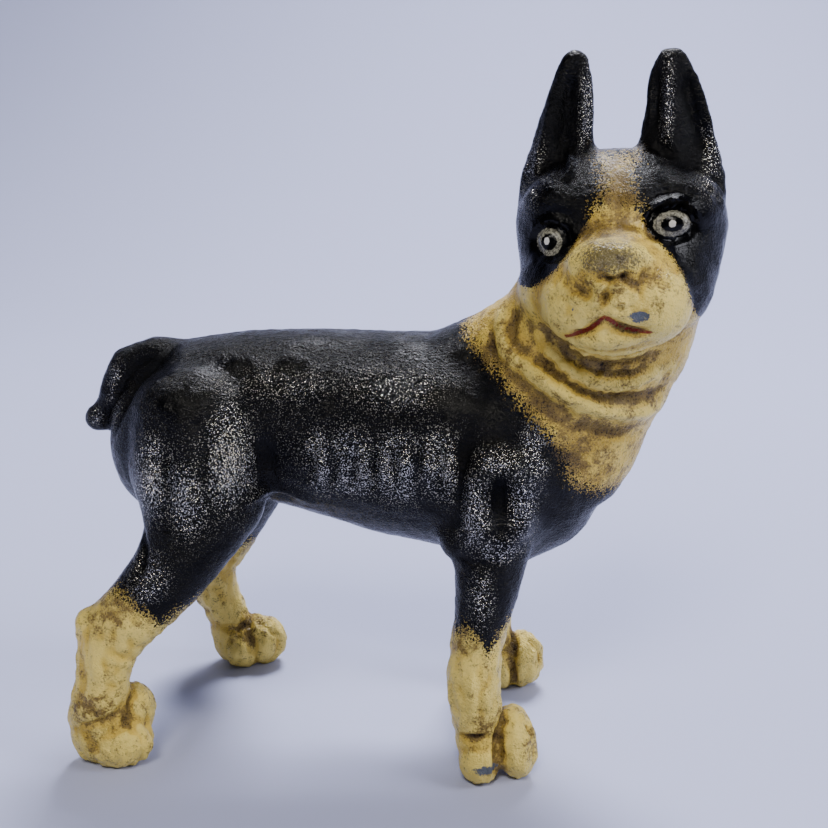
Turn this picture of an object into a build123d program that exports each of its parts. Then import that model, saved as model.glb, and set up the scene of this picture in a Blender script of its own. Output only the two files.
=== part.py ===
"""Cast-iron still bank in the shape of a standing terrier that looks over its right shoulder.

The bank is two hollow castings, parted on the animal's long centre plane and held together by one
round-head machine screw through the shoulder. Coins go in at a slot in the belly, which is cut half
in each casting, and come out when the screw is taken out and the left casting lifts off.

Units are millimetres. +X is the way the animal faces, +Y is its left, +Z is up. The parting plane is
Y = 0 and the four soles stand on Z = 0.
"""

import os

from build123d import *

# ---- driving dimensions ----------------------------------------------------------------------
# Overall sizes. The figure below is drawn 130 long, 67 wide and 141 high and stretches to these.
LENGTH = 130.0
WIDTH = 67.0
HEIGHT = 141.0
STRETCH_X = LENGTH / 130.0
STRETCH_Y = WIDTH / 67.0
STRETCH_Z = HEIGHT / 141.0

WALL = 3.0  # thickness of the cast shell

# Coin slot, cut in the belly along the parting plane
SLOT_LENGTH = 32.0
SLOT_WIDTH = 4.8

# Screw, a number 10 round-head machine screw, and what it passes through
SCREW_LENGTH = 31.75
SCREW_RADIUS = 2.4
POINT_CHAMFER = 0.6
HEAD_RADIUS = 4.6
HEAD_HEIGHT = 3.2
HEAD_ROUND = 2.2
DRIVER_SLOT_WIDTH = 1.2
DRIVER_SLOT_DEPTH = 1.6
RECESS_DEPTH = 5.0  # from the shoulder's outermost point down to the seat under the head
TAP_CLEARANCE = 0.05  # radial, between the screw and the tapped hole
HOLE_CLEARANCE = 0.3  # radial, between the screw and the left casting
RECESS_CLEARANCE = 0.9  # radial, between the head and its recess
BOSS_WALL = 2.8
TAP_RUNOUT = 1.8  # blind depth past the screw's end

# Locating pins, cast on the right casting's lugs; their sockets are in the left casting's lugs
PIN_RADIUS = 1.8
PIN_LENGTH = 3.5
PIN_CLEARANCE = 0.3
LUG_WALL = 2.2
LUG_DEPTH = 6.0

# ---- the figure ------------------------------------------------------------------------------
# Trunk, from rump to breast: (x, lowest z, highest z, half width)
TRUNK = [
    (-59.4, 52.0, 60.0, 4.5),
    (-56.5, 48.5, 67.5, 11.0),
    (-50.0, 47.5, 78.5, 16.5),
    (-42.0, 49.5, 83.3, 18.2),
    (-29.0, 51.5, 85.3, 18.4),
    (-15.0, 48.8, 86.0, 18.2),
    (-1.0, 45.2, 86.0, 19.6),
    (12.0, 41.4, 86.2, 20.8),
    (24.0, 38.6, 86.0, 20.6),
    (34.0, 41.5, 84.0, 18.4),
    (42.0, 51.0, 78.0, 13.0),
    (46.0, 57.0, 72.0, 6.5),
]
# Neck, from inside the trunk to inside the head: (z, rearmost x, foremost x, y, half width)
NECK = [
    (58.0, 6.0, 44.0, 0.0, 17.0),
    (67.0, 7.0, 50.0, 0.0, 18.5),
    (76.0, 9.0, 55.0, 0.0, 18.0),
    (84.0, 12.5, 58.5, -1.2, 16.6),
    (92.0, 21.0, 60.6, -4.0, 13.8),
    (100.0, 29.0, 61.0, -6.0, 11.8),
]
# Head, turned to face the animal's right: (z, x, y, half length in X, half width in Y)
HEAD = [
    (87.0, 45.0, -11.0, 9.5, 8.5),
    (91.0, 45.3, -9.5, 14.4, 12.4),
    (96.0, 45.4, -8.0, 17.8, 15.0),
    (103.0, 45.1, -6.5, 19.2, 15.8),
    (110.0, 45.0, -5.0, 19.3, 15.6),
    (116.0, 45.0, -4.0, 17.4, 13.8),
    (120.5, 44.8, -3.5, 12.2, 9.8),
    (122.8, 44.6, -3.5, 5.5, 4.5),
]
# Muzzle and nose, from inside the head forwards: (y, x, z, half breadth, half height)
MUZZLE = [
    (-12.0, 44.8, 98.5, 14.0, 12.0),
    (-18.0, 44.5, 98.2, 13.5, 11.3),
    (-24.0, 44.4, 97.8, 12.4, 10.4),
    (-29.0, 44.4, 97.8, 10.0, 8.6),
    (-32.3, 44.4, 98.2, 6.4, 5.6),
    (-33.5, 44.4, 98.4, 3.2, 2.8),
]
NOSE = [
    (-26.0, 43.4, 104.2, 5.4, 3.6),
    (-31.0, 43.4, 104.6, 4.6, 2.8),
    (-33.2, 43.4, 104.8, 3.0, 1.8),
]
# Eyes: (x, y, z) of the middle of each ball
EYES = [(32.2, -14.6, 107.4), (53.8, -15.6, 110.6)]
EYE_RADIUS = 3.0

# Limbs, from the shoulder or haunch down to the sole:
# (z, x, distance from the parting plane, half length in X, half width in Y)
FRONT_LEG = [
    (76.0, 23.0, 10.5, 6.5, 5.0),
    (70.0, 23.0, 12.6, 10.5, 8.6),
    (62.0, 23.0, 13.5, 12.2, 10.0),
    (54.0, 22.4, 14.2, 11.2, 9.2),
    (45.0, 22.6, 16.4, 8.0, 7.4),
    (36.0, 22.0, 18.0, 5.8, 6.0),
    (26.0, 20.2, 19.2, 5.1, 5.1),
    (17.0, 20.8, 19.8, 5.2, 5.1),
    (10.0, 23.2, 20.2, 7.0, 6.2),
    (4.0, 24.2, 20.6, 7.6, 6.8),
    (0.0, 24.2, 20.6, 7.0, 6.3),
]
RIGHT_HIND_LEG = [
    (80.0, -39.0, 4.5, 6.0, 3.5),
    (75.0, -38.5, 9.0, 11.5, 7.8),
    (67.0, -38.0, 12.2, 15.2, 10.8),
    (58.0, -35.6, 14.0, 14.6, 10.4),
    (50.0, -35.6, 18.4, 10.8, 8.0),
    (42.0, -39.0, 21.0, 8.8, 6.8),
    (34.5, -45.4, 23.0, 9.0, 5.9),
    (27.0, -51.6, 24.4, 7.8, 5.2),
    (19.0, -54.2, 25.2, 5.5, 4.9),
    (10.0, -54.6, 25.8, 7.3, 6.0),
    (4.0, -53.8, 26.0, 8.2, 6.9),
    (0.0, -53.6, 26.0, 7.6, 6.4),
]
LEFT_HIND_LEG = [
    (80.0, -38.0, 4.5, 6.0, 3.5),
    (75.0, -37.5, 9.0, 11.5, 7.8),
    (67.0, -37.0, 12.2, 15.2, 10.8),
    (58.0, -34.4, 14.0, 14.6, 10.4),
    (50.0, -33.4, 18.4, 10.8, 8.0),
    (42.0, -36.4, 21.0, 8.6, 6.8),
    (34.5, -41.0, 23.0, 7.8, 5.9),
    (27.0, -45.2, 24.4, 7.4, 5.2),
    (19.0, -47.0, 25.2, 5.9, 4.9),
    (10.0, -41.6, 25.8, 7.4, 6.0),
    (4.0, -38.8, 26.0, 8.0, 6.9),
    (0.0, -38.6, 26.0, 7.4, 6.4),
]
# Toes are balls set round the front of each sole: (forward, outward) from the sole's middle
TOES = [(4.4, 3.6), (6.0, 0.0), (4.4, -3.6)]
TOE_RADIUS = 3.6
TOE_HEIGHT = 3.2

# Ears: slices as for the limbs, but with y itself
RIGHT_EAR = [
    (110.0, 31.4, -1.0, 5.6, 5.2),
    (117.0, 32.2, -0.8, 6.6, 4.4),
    (124.0, 33.6, -0.6, 6.0, 3.6),
    (131.0, 34.7, -0.4, 4.7, 2.9),
    (137.0, 35.8, -0.2, 3.3, 2.2),
    (140.4, 36.4, -0.2, 1.6, 1.3),
]
LEFT_EAR = [
    (110.0, 58.4, -1.0, 5.8, 5.2),
    (117.0, 56.8, -0.8, 7.4, 4.4),
    (124.0, 55.3, -0.6, 7.0, 3.6),
    (131.0, 54.3, -0.4, 5.6, 2.9),
    (137.5, 53.5, -0.2, 3.7, 2.2),
    (141.0, 53.3, -0.2, 1.8, 1.3),
]
# The scoop in the front of each ear: middle, radius and how much taller than wide it is
EAR_SCOOPS = [((34.4, -5.6, 126.0), 3.6, 3.0), ((54.8, -5.6, 126.5), 4.0, 3.0)]

# Tail: (x, z, radius) along its middle line, in the parting plane
TAIL = [
    (-42.0, 78.6, 4.0),
    (-49.0, 80.2, 3.9),
    (-54.8, 77.4, 3.8),
    (-58.0, 72.0, 3.5),
    (-60.0, 68.0, 3.0),
]
TAIL_TIP = (-62.6, 66.6)
TAIL_TIP_RADIUS = 2.9

# Locating pins: (x, z), in the rump, the throat and the crown
PINS = [(-52.0, 66.0), (47.5, 73.0), (44.6, 118.0)]
SCREW_PLACE = (24.0, 60.0)

# ---- worked out from the above ---------------------------------------------------------------
REACH = WIDTH  # past the outside of the figure on either side
SLOT_X = -7.0 * STRETCH_X
SLOT_TOP = 62.0 * STRETCH_Z  # inside the hollow, above the belly wall
SCREW_AT = (SCREW_PLACE[0] * STRETCH_X, SCREW_PLACE[1] * STRETCH_Z)
TAIL_TIP_AT = (TAIL_TIP[0] * STRETCH_X, 0, TAIL_TIP[1] * STRETCH_Z)
PINS_AT = [(x * STRETCH_X, z * STRETCH_Z) for x, z in PINS]
SHOULDER_SLICE = FRONT_LEG[2]  # the one at the screw's height
HEAD_SEAT_Y = (SHOULDER_SLICE[2] + SHOULDER_SLICE[4]) * STRETCH_Y - RECESS_DEPTH
BOSS_RADIUS = SCREW_RADIUS + HOLE_CLEARANCE + BOSS_WALL
PAD_RADIUS = HEAD_RADIUS + RECESS_CLEARANCE + BOSS_WALL
LUG_RADIUS = PIN_RADIUS + PIN_CLEARANCE + LUG_WALL


def trunk(slices, shrink=0.0):
    """The barrel of the body, lofted through upright slices, less by shrink all round."""
    with BuildPart() as barrel:
        for x, low, high, half_width in slices:
            middle = (x * STRETCH_X, 0, (low + high) / 2 * STRETCH_Z)
            with BuildSketch(Plane(origin=middle, x_dir=(0, 1, 0), z_dir=(1, 0, 0))):
                Ellipse(half_width * STRETCH_Y - shrink, (high - low) / 2 * STRETCH_Z - shrink)
        loft()
    return barrel.part


def neck(shrink=0.0):
    """The neck and bib, lofted through level slices."""
    with BuildPart() as column:
        for z, rear, front, y, half_width in NECK:
            with BuildSketch(Plane.XY.offset(z * STRETCH_Z)):
                with Locations(((rear + front) / 2 * STRETCH_X, y * STRETCH_Y)):
                    half_length = (front - rear) / 2 * STRETCH_X - shrink
                    Ellipse(half_width * STRETCH_Y - shrink, half_length, rotation=90)
        loft()
    return column.part


def upright(slices, side=1, shrink=0.0):
    """A limb, an ear or the head, lofted through level slices; side -1 is the animal's right."""
    with BuildPart() as column:
        for z, x, y, half_length, half_width in slices:
            with BuildSketch(Plane.XY.offset(z * STRETCH_Z)):
                with Locations((x * STRETCH_X, side * y * STRETCH_Y)):
                    half_size = (half_width * STRETCH_Y - shrink, half_length * STRETCH_X - shrink)
                    Ellipse(*half_size, rotation=90)
        loft()
    return column.part


def forward_facing(slices, shrink=0.0):
    """The muzzle or the nose, lofted through slices parallel to the parting plane."""
    with BuildPart() as snout:
        for y, x, z, half_breadth, half_height in slices:
            with BuildSketch(Plane.XZ.offset(-y * STRETCH_Y)):
                with Locations((x * STRETCH_X, z * STRETCH_Z)):
                    Ellipse(half_breadth * STRETCH_X - shrink, half_height * STRETCH_Z - shrink)
        loft()
    return snout.part


def tail():
    """The tail, lofted through rings square to its middle line, and its rounded tip."""
    middles = [Vector(x * STRETCH_X, 0, z * STRETCH_Z) for x, z, radius in TAIL]
    with BuildPart() as switch:
        for number, (x, z, radius) in enumerate(TAIL):
            ahead = middles[min(number + 1, len(TAIL) - 1)] - middles[max(number - 1, 0)]
            with BuildSketch(Plane(origin=middles[number], x_dir=(0, 1, 0), z_dir=ahead)):
                Circle(radius)
        loft()
    return switch.part


os.makedirs("parts", exist_ok=True)

# ---- the whole figure, solid and unparted ----------------------------------------------------
masses = [trunk(TRUNK), neck(), upright(HEAD), forward_facing(MUZZLE), forward_facing(NOSE)]
masses += [upright(FRONT_LEG, -1), upright(FRONT_LEG, 1)]
masses += [upright(RIGHT_HIND_LEG, -1), upright(LEFT_HIND_LEG, 1)]
masses += [upright(RIGHT_EAR), upright(LEFT_EAR), tail()]

soles = [(FRONT_LEG[-1], -1), (FRONT_LEG[-1], 1), (RIGHT_HIND_LEG[-1], -1), (LEFT_HIND_LEG[-1], 1)]
toes = []
for (z, x, out, half_length, half_width), side in soles:
    for forward, outward in TOES:
        toes.append(((x + forward) * STRETCH_X, side * (out + outward) * STRETCH_Y, TOE_HEIGHT))

with BuildPart() as figure:
    for mass in masses:
        add(mass)
    with Locations(*[(x * STRETCH_X, y * STRETCH_Y, z * STRETCH_Z) for x, y, z in EYES]):
        Sphere(EYE_RADIUS)
    with Locations(TAIL_TIP_AT):
        Sphere(TAIL_TIP_RADIUS, rotation=(90, 0, 0))
    with Locations(*toes):
        Sphere(TOE_RADIUS)
    for (x, y, z), radius, tallness in EAR_SCOOPS:
        scoop = scale(Sphere(radius, mode=Mode.PRIVATE), by=(1, 1, tallness), mode=Mode.PRIVATE)
        add(scoop.moved(Location((x * STRETCH_X, y * STRETCH_Y, z * STRETCH_Z))), mode=Mode.SUBTRACT)
    split(bisect_by=Plane.XY, keep=Keep.TOP)

# ---- the hollow, less what stands in it ------------------------------------------------------
# Ends are left out of the slices, so that the shell stays thick where a mass closes.
hollows = [trunk(TRUNK[2:-2], WALL), neck(WALL), upright(HEAD[2:-2], 1, WALL)]
hollows += [forward_facing(MUZZLE[:3], WALL)]
hollows += [upright(FRONT_LEG[1:4], side, WALL) for side in (1, -1)]
hollows += [upright(RIGHT_HIND_LEG[1:4], -1, WALL), upright(LEFT_HIND_LEG[1:4], 1, WALL)]

with BuildPart() as hollow:
    for mass in hollows:
        add(mass)
    with BuildSketch(Plane.XZ):
        with Locations(SCREW_AT):
            Circle(BOSS_RADIUS)
    extrude(amount=REACH, both=True, mode=Mode.SUBTRACT)
    with BuildSketch(Plane.XZ.offset(WALL - HEAD_SEAT_Y)):
        with Locations(SCREW_AT):
            Circle(PAD_RADIUS)
    extrude(amount=-REACH, mode=Mode.SUBTRACT)
    with BuildSketch(Plane.XZ):
        with Locations(*PINS_AT):
            Circle(LUG_RADIUS)
    extrude(amount=LUG_DEPTH, both=True, mode=Mode.SUBTRACT)

with BuildPart() as shell:
    add(figure.part)
    add(hollow.part, mode=Mode.SUBTRACT)
    with BuildSketch(Plane.XY.offset(SLOT_TOP)):
        with Locations((SLOT_X, 0)):
            Rectangle(SLOT_LENGTH, SLOT_WIDTH)
    extrude(amount=-SLOT_TOP, mode=Mode.SUBTRACT)

# ---- right casting: the near half, with the tapped boss and the locating pins ----------------
with BuildPart() as right_casting:
    add(shell.part)
    split(bisect_by=Plane.XZ, keep=Keep.TOP)
    with BuildSketch(Plane.XZ):
        with Locations(SCREW_AT):
            Circle(SCREW_RADIUS + TAP_CLEARANCE)
    extrude(amount=SCREW_LENGTH - HEAD_SEAT_Y + TAP_RUNOUT, mode=Mode.SUBTRACT)
    with BuildSketch(Plane.XZ.offset(PIN_LENGTH)):
        with Locations(*PINS_AT):
            Circle(PIN_RADIUS)
    extrude(amount=-2 * PIN_LENGTH)
right_casting.part.label = "right_casting"
export_step(right_casting.part, "parts/right_casting.step")

# ---- left casting: the far half, with the screw's hole and recess and the pins' sockets ------
head_seat = Plane.XZ.offset(-HEAD_SEAT_Y)  # its normal points to -Y, down the screw

with BuildPart() as left_casting:
    add(shell.part)
    split(bisect_by=Plane.XZ, keep=Keep.BOTTOM)
    with BuildSketch(Plane.XZ):
        with Locations(SCREW_AT):
            Circle(SCREW_RADIUS + HOLE_CLEARANCE)
    extrude(amount=-REACH, mode=Mode.SUBTRACT)
    with BuildSketch(head_seat):
        with Locations(SCREW_AT):
            Circle(HEAD_RADIUS + RECESS_CLEARANCE)
    extrude(amount=-REACH, mode=Mode.SUBTRACT)
    with BuildSketch(Plane.XZ):
        with Locations(*PINS_AT):
            Circle(PIN_RADIUS + PIN_CLEARANCE)
    extrude(amount=-(PIN_LENGTH + PIN_CLEARANCE), mode=Mode.SUBTRACT)
left_casting.part.label = "left_casting"
export_step(left_casting.part, "parts/left_casting.step")

# ---- assembly screw --------------------------------------------------------------------------
with BuildPart() as assembly_screw:
    with BuildSketch(head_seat):
        with Locations(SCREW_AT):
            Circle(SCREW_RADIUS)
    extrude(amount=SCREW_LENGTH)
    chamfer(assembly_screw.faces().sort_by(Axis.Y)[0].edges(), length=POINT_CHAMFER)
    with BuildSketch(head_seat):
        with Locations(SCREW_AT):
            Circle(HEAD_RADIUS)
    extrude(amount=-HEAD_HEIGHT)
    fillet(assembly_screw.faces().sort_by(Axis.Y)[-1].edges(), radius=HEAD_ROUND)
    with BuildSketch(head_seat.offset(-HEAD_HEIGHT)):
        with Locations(SCREW_AT):
            Rectangle(3 * HEAD_RADIUS, DRIVER_SLOT_WIDTH)
    extrude(amount=DRIVER_SLOT_DEPTH, mode=Mode.SUBTRACT)
assembly_screw.part.label = "assembly_screw"
export_step(assembly_screw.part, "parts/assembly_screw.step")
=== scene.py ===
# %% [markdown]
# A painted cast-iron still bank: a standing terrier that looks over its right shoulder.
# The real bank is two hollow castings held by one screw. The imported model gives the frame that
# everything here is built round, so it is loaded first.

# %% Load the frame
import math

import bmesh
import bpy
import numpy as np
from mathutils import Euler, Matrix, Vector, kdtree, noise


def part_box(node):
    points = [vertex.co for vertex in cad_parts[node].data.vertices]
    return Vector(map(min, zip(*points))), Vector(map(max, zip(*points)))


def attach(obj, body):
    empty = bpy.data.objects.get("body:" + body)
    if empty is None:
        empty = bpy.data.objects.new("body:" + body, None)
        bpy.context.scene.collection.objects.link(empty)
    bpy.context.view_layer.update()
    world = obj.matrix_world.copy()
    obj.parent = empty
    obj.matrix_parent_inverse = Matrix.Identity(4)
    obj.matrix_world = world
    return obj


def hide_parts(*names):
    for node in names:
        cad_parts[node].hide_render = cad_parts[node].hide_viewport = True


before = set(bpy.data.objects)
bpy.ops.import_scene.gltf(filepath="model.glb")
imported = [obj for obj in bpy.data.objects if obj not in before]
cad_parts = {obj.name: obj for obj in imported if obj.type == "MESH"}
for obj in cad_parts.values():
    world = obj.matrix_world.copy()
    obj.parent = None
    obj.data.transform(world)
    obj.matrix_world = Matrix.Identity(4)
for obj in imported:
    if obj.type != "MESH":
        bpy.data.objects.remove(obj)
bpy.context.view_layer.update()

# %% [markdown]
# The figure is roughed out in millimetres, because its sizes are easier to read that way, and it is
# brought to metres once, when its castings are cut. It starts as clay does, with eggs: a ball is an
# icosphere pressed to three half sizes, and a strut is the hull round each neighbouring pair of
# balls. The eggs may overlap, because a remesh melts them into one skin afterwards.

# %% Eggs and struts of clay
MM = 0.001


def ball(clay, egg):
    """Adds an egg of clay. egg is x, y, z, three half sizes and, if given, its turn in degrees."""
    x, y, z, half_x, half_y, half_z, *turn = egg
    turned = Euler([math.radians(angle) for angle in turn or (0, 0, 0)]).to_matrix().to_4x4()
    place = Matrix.Translation((x, y, z)) @ turned @ Matrix.Diagonal((half_x, half_y, half_z, 1))
    return bmesh.ops.create_icosphere(clay, subdivisions=3, radius=1, matrix=place)["verts"]


def strut(clay, eggs):
    """Adds the hull round each neighbouring pair in a row of eggs."""
    for pair in zip(eggs, eggs[1:]):
        lump = bmesh.new()
        for egg in pair:
            ball(lump, egg)
        hull = bmesh.ops.convex_hull(lump, input=lump.verts)
        inside = {part for part in hull["geom_interior"] if isinstance(part, bmesh.types.BMVert)}
        bmesh.ops.delete(lump, geom=list(inside), context="VERTS")
        skin = bpy.data.meshes.new("lump")
        lump.to_mesh(skin)
        lump.free()
        clay.from_mesh(skin)
        bpy.data.meshes.remove(skin)


def mirrored(egg):
    """The same egg on the animal's other side."""
    x, y, *rest = egg
    return (x, -y, *rest)


# %% The hollow masses: trunk, neck and head
TRUNK = [
    (-47.5, 0, 62.8, 12.0, 14.5, 16.2),
    (-40.0, 0, 67.2, 11.0, 16.5, 17.4),
    (-29.0, 0, 69.1, 9.0, 16.2, 17.3),
    (-15.0, 0, 67.8, 9.0, 16.8, 19.3),
    (0.0, 0, 65.8, 9.0, 18.8, 21.2),
    (12.0, 0, 65.0, 10.0, 20.2, 22.0),
    (24.0, 0, 62.6, 11.0, 20.0, 24.2),
    (33.0, 0, 62.0, 11.2, 16.5, 18.5),
]
NECK = [
    (24.0, 0, 66.0, 18.0, 18.0, 12.0),
    (31.0, 0, 75.0, 22.6, 18.0, 10.0),
    (38.0, -1.5, 84.0, 21.2, 16.6, 9.0),
    (41.5, -4.0, 92.0, 19.2, 14.4, 8.0),
    (44.5, -6.0, 101.0, 16.5, 12.5, 8.0),
]
NAPE = [
    (13.0, 0, 78.2, 8.0, 12.0, 10.2),
    (20.6, -0.5, 81.8, 8.0, 11.0, 9.9),
    (29.0, -2.5, 88.6, 8.2, 11.0, 8.6),
]
BIB = [
    (44.0, -1.5, 87.0, 15.2, 13.0, 5.0),
    (42.0, -1.0, 79.0, 14.8, 14.0, 4.5),
    (39.6, -1.0, 70.5, 13.0, 13.6, 5.0),
    (37.2, -1.0, 63.0, 12.9, 12.6, 5.0),
    (34.5, -1.0, 57.0, 12.2, 12.0, 4.5),
]
HEAD = [
    (45.0, -4.4, 109.2, 20.0, 15.2, 14.2),
    (45.0, -7.5, 100.5, 18.4, 14.6, 11.5),
]


def hollow_masses(clay, less=0.0):
    """Adds trunk, neck and head, each half size less by the wall."""
    def thinner(eggs):
        return [(x, y, z, a - less, b - less, c - less) for x, y, z, a, b, c in eggs]
    strut(clay, thinner(TRUNK))
    strut(clay, thinner(NECK))
    strut(clay, thinner(HEAD))


# %% [markdown]
# The limbs are rows of eggs from the shoulder or the haunch down to the sole. The hind legs are
# staggered, so each has a row of its own. The far front leg is the near one mirrored, a little
# further back and straighter below the knee, so it is worked out from it further on.

# %% Limbs
FRONT_LEG = [
    (22.5, -13.4, 63.0, 10.8, 9.2, 9.0),
    (22.2, -13.6, 54.5, 10.6, 9.0, 7.0),
    (22.6, -15.8, 46.0, 7.4, 7.0, 4.0),
    (22.2, -17.2, 40.0, 6.4, 6.4, 4.0),
    (21.4, -18.2, 34.5, 5.6, 5.8, 4.0),
    (20.5, -19.0, 29.0, 5.2, 5.3, 4.0),
    (19.9, -19.6, 23.5, 5.3, 5.1, 3.5),
    (20.0, -19.8, 19.0, 5.5, 5.2, 3.5),
    (20.8, -18.4, 12.0, 5.1, 4.7, 4.0),
    (21.9, -17.8, 5.0, 5.0, 4.6, 5.2),
]
ELBOW = (16.4, -15.4, 49.8, 4.6, 5.0, 4.6)
RIGHT_HIND_LEG = [
    (-37.5, -10.5, 70.0, 14.0, 10.5, 11.5),
    (-36.5, -12.5, 60.5, 15.0, 11.0, 10.5),
    (-35.2, -15.6, 52.0, 12.2, 9.2, 6.0),
    (-38.0, -19.4, 44.6, 9.6, 7.4, 4.5),
    (-42.8, -22.2, 38.0, 9.3, 6.4, 4.0),
    (-48.6, -24.0, 31.8, 9.0, 5.6, 3.4),
    (-52.8, -24.6, 26.2, 6.9, 5.2, 3.2),
    (-54.2, -25.2, 20.0, 5.6, 4.9, 3.6),
    (-55.8, -25.4, 12.0, 6.2, 5.2, 4.0),
    (-56.2, -24.0, 5.0, 6.2, 5.0, 5.2),
]
HOCK = (-56.6, -24.2, 30.4, 3.6, 3.8, 3.4)
LEFT_HIND_LEG = [
    (-37.2, 10.5, 70.0, 13.4, 10.5, 11.5),
    (-38.0, 12.5, 60.5, 13.8, 11.0, 10.5),
    (-35.8, 15.6, 52.0, 10.4, 9.0, 7.0),
    (-36.9, 19.4, 44.0, 7.8, 7.2, 5.0),
    (-40.6, 22.2, 37.0, 6.8, 6.0, 4.5),
    (-44.6, 24.0, 30.0, 6.6, 5.4, 4.0),
    (-47.9, 24.6, 25.0, 5.6, 5.0, 3.5),
    (-47.2, 25.2, 18.0, 5.4, 4.7, 4.0),
    (-44.0, 25.6, 11.0, 5.4, 4.7, 4.0),
    (-42.4, 25.2, 5.0, 5.8, 5.4, 5.0),
]

# Toes: eggs round the front of each foot
FRONT_TOES = [
    (28.3, -16.8, 7.2, 4.3, 5.2, 7.6, 0, -8, 0),
    (21.6, -19.4, 4.5, 4.6, 5.0, 4.9),
    (27.4, -14.6, 7.6, 4.0, 4.4, 6.6),
]
RIGHT_HIND_TOES = [
    (-52.4, -24.8, 5.1, 7.6, 5.0, 5.5),
    (-50.2, -20.8, 10.4, 4.4, 4.8, 5.6),
    (-57.0, -24.2, 7.6, 5.0, 5.0, 7.5),
    (-49.6, -24.0, 5.4, 4.2, 5.2, 5.0),
]
LEFT_HIND_TOES = [
    (-40.6, 24.0, 4.4, 5.0, 5.0, 4.7),
    (-35.6, 26.5, 5.8, 5.2, 5.4, 5.8),
    (-38.0, 26.0, 7.6, 4.4, 4.6, 4.8),
]

# %% [markdown]
# The head is turned to the animal's right, so its face looks along -Y. Brows, cheeks, jowls, nose
# and chin are single eggs, the ears are short rows, and the docked tail curls down to a small ball.

# %% Face, ears and tail
EARS = [
    [
        (32.2, -1.4, 111.0, 7.2, 5.2, 4.0),
        (32.7, -0.8, 117.5, 7.2, 3.8, 3.0),
        (33.6, -0.4, 124.0, 6.2, 3.2, 2.5),
        (34.6, -0.2, 130.5, 5.2, 2.8, 2.2),
        (35.2, -0.2, 136.2, 4.0, 2.4, 2.0),
        (35.5, -0.2, 139.2, 2.9, 2.0, 2.2),
    ],
    [
        (56.6, -1.4, 111.5, 8.0, 5.2, 4.0),
        (55.9, -0.8, 117.5, 8.7, 3.8, 3.0),
        (55.1, -0.4, 124.0, 7.6, 3.2, 2.5),
        (54.3, -0.2, 130.5, 6.1, 2.8, 2.2),
        (53.3, -0.2, 136.5, 4.6, 2.4, 2.0),
        (53.2, -0.2, 139.6, 3.2, 2.0, 2.2),
    ],
]
FACE = [
    (35.6, -10.6, 98.0, 9.4, 12.2, 9.8),
    (54.0, -9.5, 100.0, 8.8, 11.0, 10.4),
    (36.0, -8.6, 112.6, 9.6, 8.6, 7.0),
    (54.6, -8.2, 112.8, 9.4, 8.6, 7.0),
    (44.4, -17.0, 98.8, 13.4, 14.2, 11.0),
    (39.4, -20.8, 97.0, 8.6, 9.6, 7.8),
    (49.8, -21.8, 97.4, 8.4, 9.8, 8.2),
    (43.8, -25.0, 98.4, 9.6, 7.6, 6.8),
    (43.3, -25.8, 103.6, 8.2, 6.6, 5.2),
    (43.2, -28.4, 105.6, 5.6, 4.2, 3.4),
    (43.8, -23.2, 91.4, 7.8, 6.8, 3.8),
]
EYEBALLS = [(32.4, -15.3, 107.0, 2.5, 2.5, 2.4), (53.8, -16.9, 110.5, 3.5, 2.4, 2.5)]
TAIL = [
    (-41.0, 0, 79.0, 4.6, 4.4, 4.6),
    (-49.0, 0, 80.6, 4.2, 4.0, 4.2),
    (-55.2, 0, 77.8, 4.8, 4.2, 4.8),
    (-58.0, 0, 72.6, 4.4, 4.0, 4.3),
    (-60.4, 0, 67.8, 3.1, 3.1, 3.1),
    (-62.9, 0, 66.7, 3.3, 3.3, 3.3),
]


# %% [markdown]
# A voxel remesh gives one closed skin with even quads, which is what sculpting needs. It is done
# twice. The coarse one and its smoothing round the joins between the masses off, and the fine one
# takes the toes and eyeballs in while they are still crisp. The soles are then cut flat at z = 0.

# %% Melt the clay into one skin
def worked(mesh, kind, **settings):
    """A mesh after one modifier."""
    holder = bpy.data.objects.new("worked", mesh)
    bpy.context.scene.collection.objects.link(holder)
    modifier = holder.modifiers.new(kind, kind)
    for name, value in settings.items():
        setattr(modifier, name, value)
    bpy.context.view_layer.update()
    result = bpy.data.meshes.new_from_object(holder.evaluated_get(bpy.context.evaluated_depsgraph_get()))
    bpy.data.objects.remove(holder)
    return result


def skin_of(clay, name, voxel, smoothing):
    """Melts a bmesh of overlapping lumps into one closed, smoothed skin."""
    lumps = bpy.data.meshes.new(name)
    clay.to_mesh(lumps)
    clay.free()
    melted = worked(lumps, "REMESH", mode="VOXEL", voxel_size=voxel, adaptivity=0)
    return worked(melted, "SMOOTH", factor=0.5, iterations=smoothing)


VOXEL_ROUGH = 1.0
VOXEL_FINE = 0.55
rough = bmesh.new()
hollow_masses(rough)
LEFT_FRONT_LEG = [(x - 1.3, -y + 3.2 * max(0, min(1, (34 - z) / 18)), z, *sizes)
                  for x, y, z, *sizes in FRONT_LEG]
LEFT_FRONT_TOES = [(26.4, 23.8, 6.6, 5.4, 5.8, 6.7), (21.4, 23.0, 4.6, 4.8, 5.0, 5.0)]
for eggs in (NAPE, BIB, FRONT_LEG, LEFT_FRONT_LEG, RIGHT_HIND_LEG, LEFT_HIND_LEG, *EARS, TAIL):
    strut(rough, eggs)
for egg in [*FACE, ELBOW, mirrored(ELBOW), HOCK]:
    ball(rough, egg)
fine = bmesh.new()
fine.from_mesh(skin_of(rough, "rough", VOXEL_ROUGH, 7))
for egg in FRONT_TOES + LEFT_FRONT_TOES + RIGHT_HIND_TOES + LEFT_HIND_TOES + EYEBALLS:
    ball(fine, egg)
skin = skin_of(fine, "figure", VOXEL_FINE, 5)
print("skin", len(skin.vertices), "vertices")

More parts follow.
